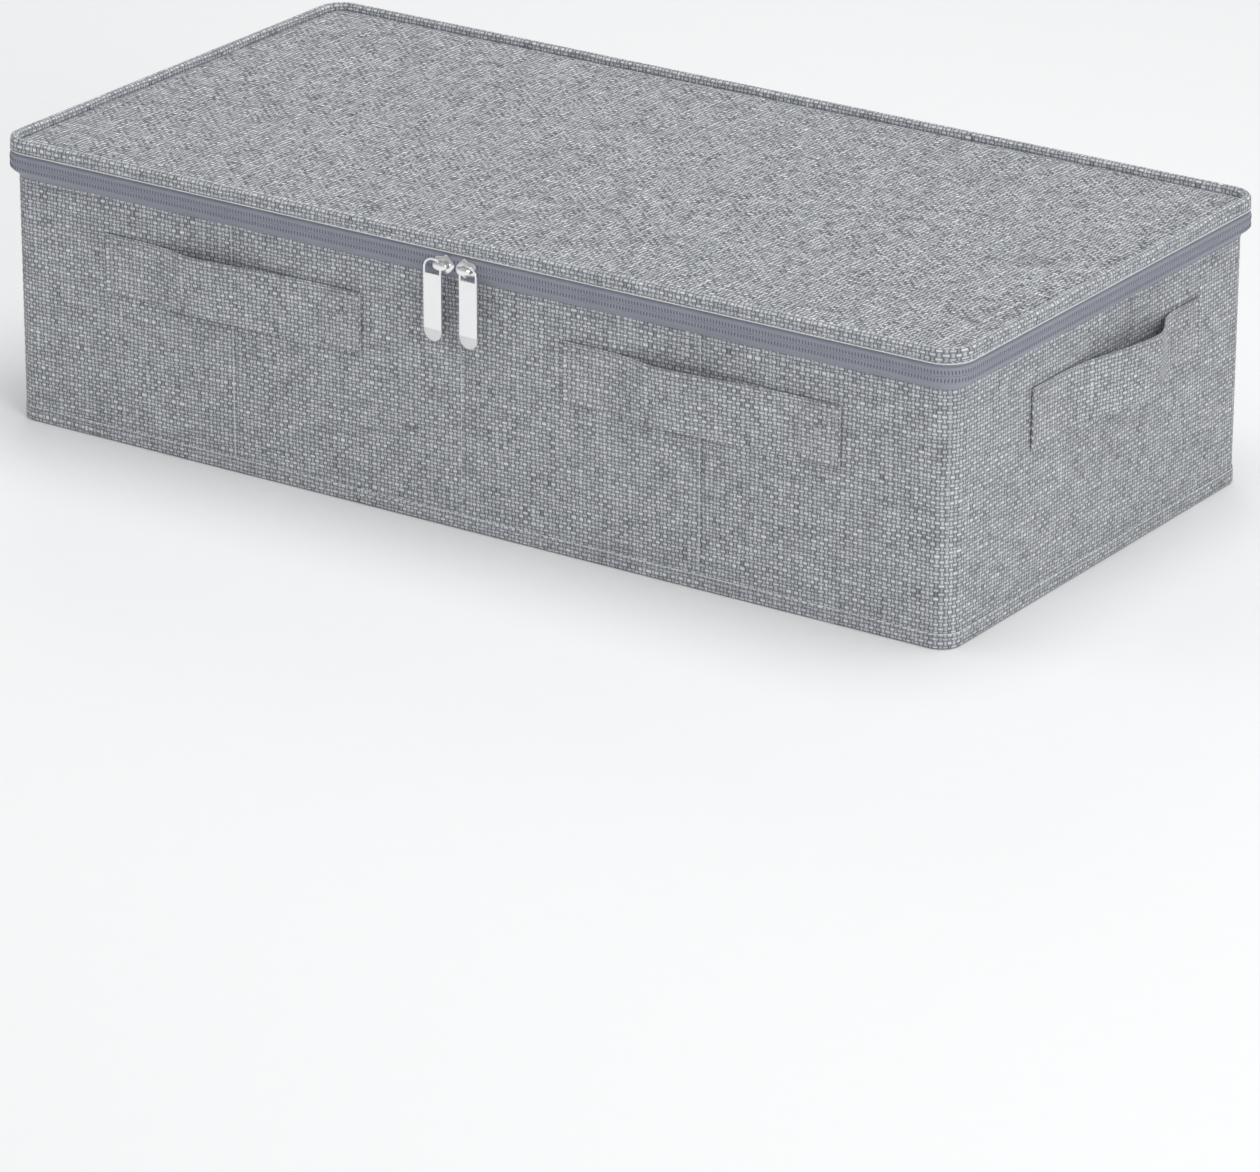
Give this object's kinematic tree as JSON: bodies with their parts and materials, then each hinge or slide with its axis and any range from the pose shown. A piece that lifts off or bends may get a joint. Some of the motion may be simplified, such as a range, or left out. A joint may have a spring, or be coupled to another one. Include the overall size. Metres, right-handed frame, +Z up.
{
  "type": "under bed storage box",
  "caption": "Low fabric storage box with stiffened walls, a hinged lid closed by a coil zip round three sides, and sewn strap handles.",
  "frame": {"origin": "centre of the underside, on the surface the box stands on", "axes": "+X along the length, the front with the zip pulls faces -Y, +Z up"},
  "size_m": [0.6278, 0.3169, 0.163],
  "materials": {
    "outer_cloth": "matte plain weave, heathered grey",
    "lining_cloth": "matte non-woven felt",
    "stiffener_board": "plain grey board",
    "zipper_tape": "fine herringbone tape",
    "zipper_coil": "moulded nylon coil",
    "zipper_metal": "bright plating over a cast body"
  },
  "bodies": {
    "box": {"bottom_cover": "outer_cloth", "bottom_hem": "outer_cloth", "front_cover": "outer_cloth", "right_cover": "outer_cloth", "back_cover": "outer_cloth", "left_cover": "outer_cloth", "front_lining": "lining_cloth", "right_lining": "lining_cloth", "back_lining": "lining_cloth", "left_lining": "lining_cloth", "front_board_1": "stiffener_board", "front_board_2": "stiffener_board", "front_board_3": "stiffener_board", "front_board_4": "stiffener_board", "back_board_1": "stiffener_board", "back_board_2": "stiffener_board", "back_board_3": "stiffener_board", "back_board_4": "stiffener_board", "left_board": "stiffener_board", "right_board": "stiffener_board", "front_left_handle": "outer_cloth", "front_right_handle": "outer_cloth", "right_handle": "outer_cloth", "left_handle": "outer_cloth", "zipper_tape_lower": "zipper_tape", "zipper_coil_lower": "zipper_coil", "hinge_strip": "outer_cloth"},
    "lid": {"lid_cover": "outer_cloth", "lid_board": "stiffener_board", "lid_lining": "lining_cloth", "lid_skirt": "outer_cloth", "lid_piping": "outer_cloth", "zipper_tape_upper": "zipper_tape", "zipper_coil_upper": "zipper_coil"},
    "loose_base": {"base_board": "stiffener_board", "base_sleeve": "lining_cloth"},
    "left_slider": {"slider_left": "zipper_metal"},
    "right_slider": {"slider_right": "zipper_metal"},
    "left_pull": {"pull_left": "zipper_metal"},
    "right_pull": {"pull_right": "zipper_metal"}
  },
  "joints": [
    {"name": "lid_hinge", "type": "hinge", "parent": "box", "child": "lid", "pos_m": [0, 0.1555, 0.1488], "axis": [-1, 0, 0], "range_deg": [0, 180], "deforming": ["hinge_strip"]},
    {"name": "left_slider_run", "type": "slide", "parent": "box", "child": "left_slider", "axis": [-1, 0, 0], "range_m": [0, 0.276]},
    {"name": "right_slider_run", "type": "slide", "parent": "box", "child": "right_slider", "axis": [1, 0, 0], "range_m": [0, 0.276]},
    {"name": "left_pull_swing", "type": "hinge", "parent": "left_slider", "child": "left_pull", "pos_m": [-0.01272, -0.1572, 0.14625], "axis": [0, 1, 0], "range_deg": [0, 90]},
    {"name": "right_pull_swing", "type": "hinge", "parent": "right_slider", "child": "right_pull", "pos_m": [0.01002, -0.1572, 0.14625], "axis": [0, -1, 0], "range_deg": [0, 90]},
    {"name": "base_lift", "type": "slide", "parent": "box", "child": "loose_base", "axis": [0, 0, 1], "range_m": [0, 0.1498]}
  ]
}
